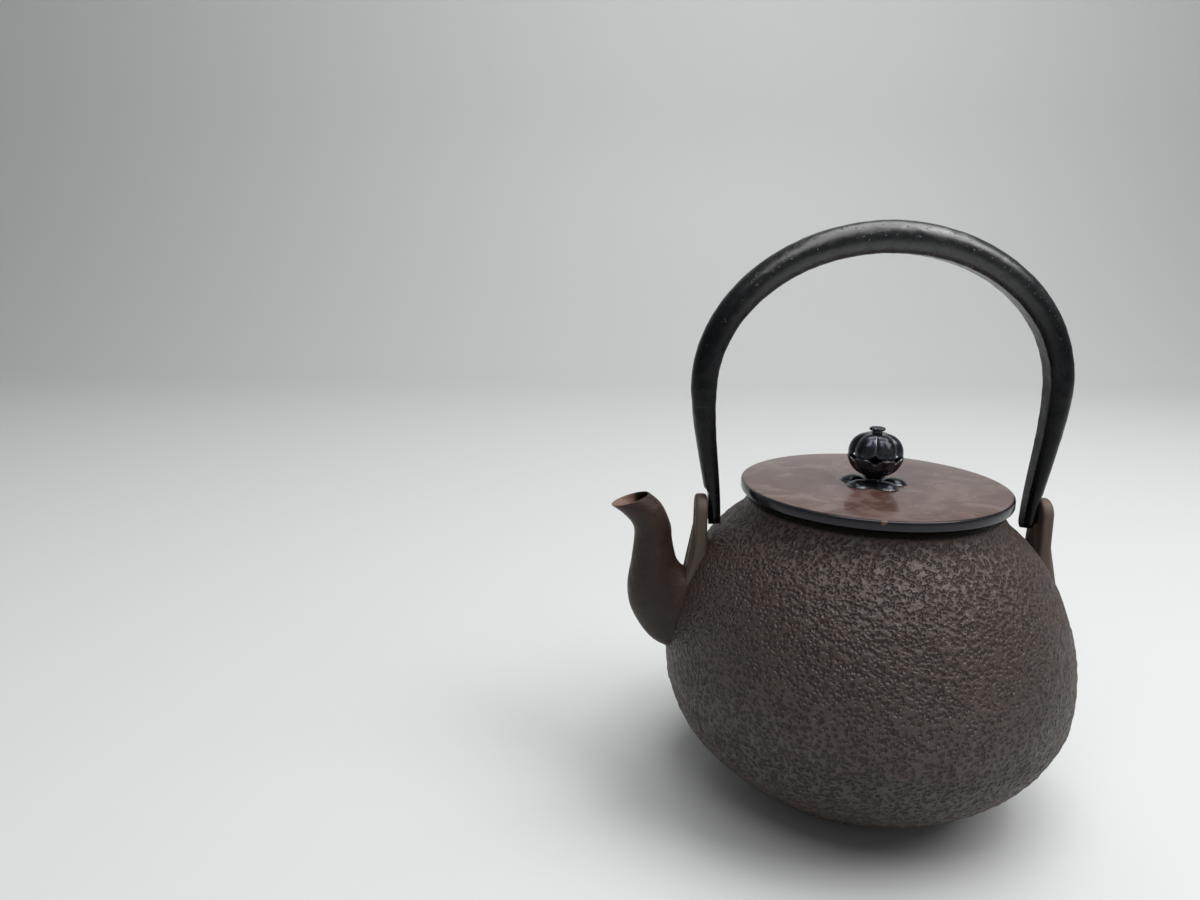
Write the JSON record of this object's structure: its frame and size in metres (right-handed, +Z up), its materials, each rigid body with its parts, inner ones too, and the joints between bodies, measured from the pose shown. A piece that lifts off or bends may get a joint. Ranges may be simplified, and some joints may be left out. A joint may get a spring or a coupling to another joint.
{
  "type": "cast iron kettle",
  "caption": "Round-shouldered cast iron kettle with a short spout, a hollow forged bail handle that turns in two lugs, and a loose flat bronze lid with a fruit-shaped knob.",
  "frame": {"origin": "centre of the flat base, on the surface that the kettle stands on", "axes": "+Z up, -X along the spout, Y across the kettle"},
  "size_m": [0.1918, 0.1674, 0.2384],
  "materials": {
    "cast_skin": "satin, pebbled casting skin",
    "smooth_iron": "satin, smooth casting",
    "forged_iron": "black, semi-gloss, hammered",
    "lid_bronze": "mottled dark brown patina, glossy",
    "knob_metal": "blue-black patina, glossy"
  },
  "bodies": {
    "kettle": {"kettle_body": "cast_skin", "spout": "smooth_iron", "front_lug": "smooth_iron", "rear_lug": "smooth_iron"},
    "handle": {"handle_tube": "forged_iron", "handle_front_end": "forged_iron", "handle_rear_end": "forged_iron"},
    "lid": {"lid_disc": "lid_bronze", "lid_ring": "lid_bronze", "knob_rivet": "knob_metal", "rivet_washer": "knob_metal", "knob_seat": "knob_metal", "knob_calyx": "knob_metal", "knob_fruit": "knob_metal", "knob_cap": "knob_metal"}
  },
  "joints": [
    {"name": "handle_fold", "type": "hinge", "parent": "kettle", "child": "handle", "pos_m": [0, 0, 0.119], "axis": [1, 0, 0], "range_deg": [-110, 110]},
    {"name": "lid_lift", "type": "slide", "parent": "kettle", "child": "lid", "axis": [0, 0, 1], "range_m": [0, 0.06]}
  ]
}
